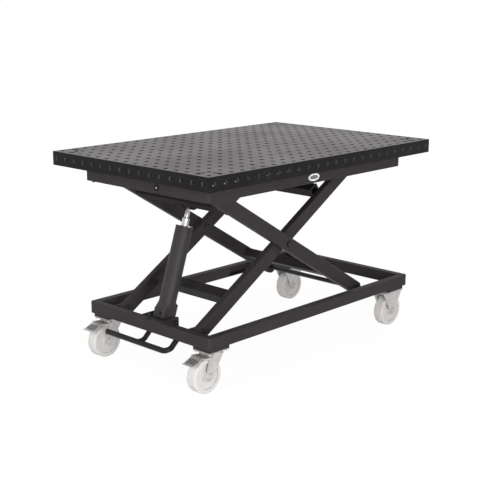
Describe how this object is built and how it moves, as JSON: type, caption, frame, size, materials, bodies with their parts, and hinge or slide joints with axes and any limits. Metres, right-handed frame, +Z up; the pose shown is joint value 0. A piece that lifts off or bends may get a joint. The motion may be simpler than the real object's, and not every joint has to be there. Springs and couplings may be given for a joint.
{
  "type": "mobile lift table",
  "caption": "Perforated steel fixture plate on a foot-pumped hydraulic scissor lift, carried on a channel frame with braked swivel casters and fixed casters.",
  "frame": {"origin": "on the floor under the middle of the table's bounding box", "axes": "+X runs along the table away from the pedal end, +Y is the left side seen from the pedal end looking along +X, +Z is up"},
  "size_m": [1.208, 0.8, 0.7682],
  "materials": {
    "fixture_steel": "dark nitrided satin",
    "charcoal_paint": "fine powder coat, satin",
    "pump_paint": "satin paint",
    "black_paint": "satin black paint",
    "dark_steel": "blackened",
    "bright_steel": "ground",
    "bronze": "turned",
    "chrome": "hard chrome",
    "zinc": "zinc plated",
    "polyamide": "moulded polyamide",
    "knob_plastic": "moulded"
  },
  "bodies": {
    "base": {"base_front_rail": "charcoal_paint", "base_rear_rail": "charcoal_paint", "base_left_rail": "charcoal_paint", "base_right_rail": "charcoal_paint", "caster_blocks": "charcoal_paint", "caster_plates": "zinc", "rear_fork_left": "zinc", "rear_fork_right": "zinc", "rear_axles": "zinc", "pump_lugs": "charcoal_paint", "lower_pivot_lugs": "charcoal_paint", "lower_pivot_pins": "dark_steel"},
    "inner_arms": {"inner_arm_left": "charcoal_paint", "inner_arm_right": "charcoal_paint", "inner_lower_beam": "charcoal_paint", "inner_upper_beam": "charcoal_paint", "inner_arm_bushes": "bronze", "centre_pins": "dark_steel"},
    "outer_arms": {"outer_arm_left": "charcoal_paint", "outer_arm_right": "charcoal_paint", "outer_upper_beam": "charcoal_paint", "outer_lower_beam": "charcoal_paint", "outer_arm_bushes": "bronze", "rod_lugs": "charcoal_paint", "rod_eye_pin": "dark_steel"},
    "top": {"upper_front_rail": "charcoal_paint", "upper_rear_rail": "charcoal_paint", "upper_left_rail": "charcoal_paint", "upper_right_rail": "charcoal_paint", "upper_pivot_lugs": "charcoal_paint", "upper_pivot_pins": "dark_steel", "plate_spacers": "charcoal_paint", "plate_top": "fixture_steel", "plate_side_walls": "fixture_steel", "plate_end_walls": "fixture_steel", "plate_ribs": "fixture_steel"},
    "lower_rollers": {"lower_axle": "dark_steel", "lower_rollers": "bright_steel"},
    "upper_rollers": {"upper_axle": "dark_steel", "upper_rollers": "bright_steel"},
    "pump_cylinder": {"pump_block": "pump_paint", "pump_tube": "pump_paint", "pump_gland": "pump_paint"},
    "pump_rod": {"pump_rod": "chrome", "rod_eye": "chrome", "pump_piston": "bright_steel"},
    "pedal": {"pedal_bar": "black_paint", "pedal_shaft": "black_paint"},
    "plunger": {"pump_plunger": "bright_steel"},
    "release_valve": {"release_valve": "knob_plastic"},
    "swivel_left": {"front_fork_left": "zinc", "front_axle_left": "zinc"},
    "brake_left": {"brake_pedal_left": "zinc"},
    "wheel_front_left": {"front_wheel_left": "polyamide"},
    "wheel_rear_left": {"rear_wheel_left": "polyamide"},
    "swivel_right": {"front_fork_right": "zinc", "front_axle_right": "zinc"},
    "brake_right": {"brake_pedal_right": "zinc"},
    "wheel_front_right": {"front_wheel_right": "polyamide"},
    "wheel_rear_right": {"rear_wheel_right": "polyamide"}
  },
  "joints": [
    {"name": "lift", "type": "hinge", "parent": "base", "child": "inner_arms", "pos_m": [-0.454, 0, 0.185], "axis": [0, -1, 0], "range_deg": [-2, 14]},
    {"name": "scissor", "type": "hinge", "parent": "inner_arms", "child": "outer_arms", "pos_m": [-0.04386, 0, 0.43437], "axis": [0, -1, 0], "range_deg": [-28, 4]},
    {"name": "top_level", "type": "hinge", "parent": "outer_arms", "child": "top", "pos_m": [-0.454, 0, 0.68374], "axis": [0, -1, 0], "range_deg": [-2, 14]},
    {"name": "lower_roller_spin", "type": "hinge", "parent": "outer_arms", "child": "lower_rollers", "pos_m": [0.36628, 0, 0.185], "axis": [0, 1, 0], "continuous": true},
    {"name": "upper_roller_spin", "type": "hinge", "parent": "inner_arms", "child": "upper_rollers", "pos_m": [0.36628, 0, 0.68374], "axis": [0, 1, 0], "continuous": true},
    {"name": "pump_swing", "type": "hinge", "parent": "base", "child": "pump_cylinder", "pos_m": [-0.443, 0, 0.1885], "axis": [0, -1, 0], "range_deg": [-1.09, 7.63]},
    {"name": "rod_eye_turn", "type": "hinge", "parent": "outer_arms", "child": "pump_rod", "pos_m": [-0.30746, 0, 0.59464], "axis": [0, -1, 0], "range_deg": [-3.09, 21.63]},
    {"name": "pedal_press", "type": "hinge", "parent": "base", "child": "pedal", "pos_m": [-0.484, 0, 0.1805], "axis": [0, -1, 0], "range_deg": [0, 18], "stiffness_Nm_per_rad": 12, "springref_deg": -20.05},
    {"name": "plunger_push", "type": "slide", "parent": "pump_cylinder", "child": "plunger", "axis": [0.9486, 0, -0.3166], "range_m": [0, 0.006]},
    {"name": "release_turn", "type": "hinge", "parent": "pump_cylinder", "child": "release_valve", "pos_m": [-0.43461, 0.038, 0.21364], "axis": [0, 1, 0], "range_deg": [0, 90]},
    {"name": "swivel_left_turn", "type": "hinge", "parent": "base", "child": "swivel_left", "pos_m": [-0.467, 0.266, 0.139], "axis": [0, 0, 1], "continuous": true},
    {"name": "brake_left_press", "type": "hinge", "parent": "swivel_left", "child": "brake_left", "pos_m": [-0.491, 0.266, 0.128], "axis": [0, -1, 0], "range_deg": [0, 8]},
    {"name": "wheel_front_left_spin", "type": "hinge", "parent": "swivel_left", "child": "wheel_front_left", "pos_m": [-0.503, 0.266, 0.0625], "axis": [0, 1, 0], "continuous": true},
    {"name": "wheel_rear_left_spin", "type": "hinge", "parent": "base", "child": "wheel_rear_left", "pos_m": [0.541, 0.266, 0.0625], "axis": [0, 1, 0], "continuous": true},
    {"name": "swivel_right_turn", "type": "hinge", "parent": "base", "child": "swivel_right", "pos_m": [-0.467, -0.266, 0.139], "axis": [0, 0, 1], "continuous": true},
    {"name": "brake_right_press", "type": "hinge", "parent": "swivel_right", "child": "brake_right", "pos_m": [-0.491, -0.266, 0.128], "axis": [0, -1, 0], "range_deg": [0, 8]},
    {"name": "wheel_front_right_spin", "type": "hinge", "parent": "swivel_right", "child": "wheel_front_right", "pos_m": [-0.503, -0.266, 0.0625], "axis": [0, 1, 0], "continuous": true},
    {"name": "wheel_rear_right_spin", "type": "hinge", "parent": "base", "child": "wheel_rear_right", "pos_m": [0.541, -0.266, 0.0625], "axis": [0, 1, 0], "continuous": true}
  ],
  "couplings": [
    {"joint": "scissor", "follows": "lift", "ratio": -2},
    {"joint": "top_level", "follows": "lift", "ratio": 1},
    {"joint": "pump_swing", "follows": "lift", "ratio": 0.545},
    {"joint": "rod_eye_turn", "follows": "lift", "ratio": 1.545},
    {"joint": "plunger_push", "follows": "pedal_press", "m_per_rad": 0.01878}
  ]
}
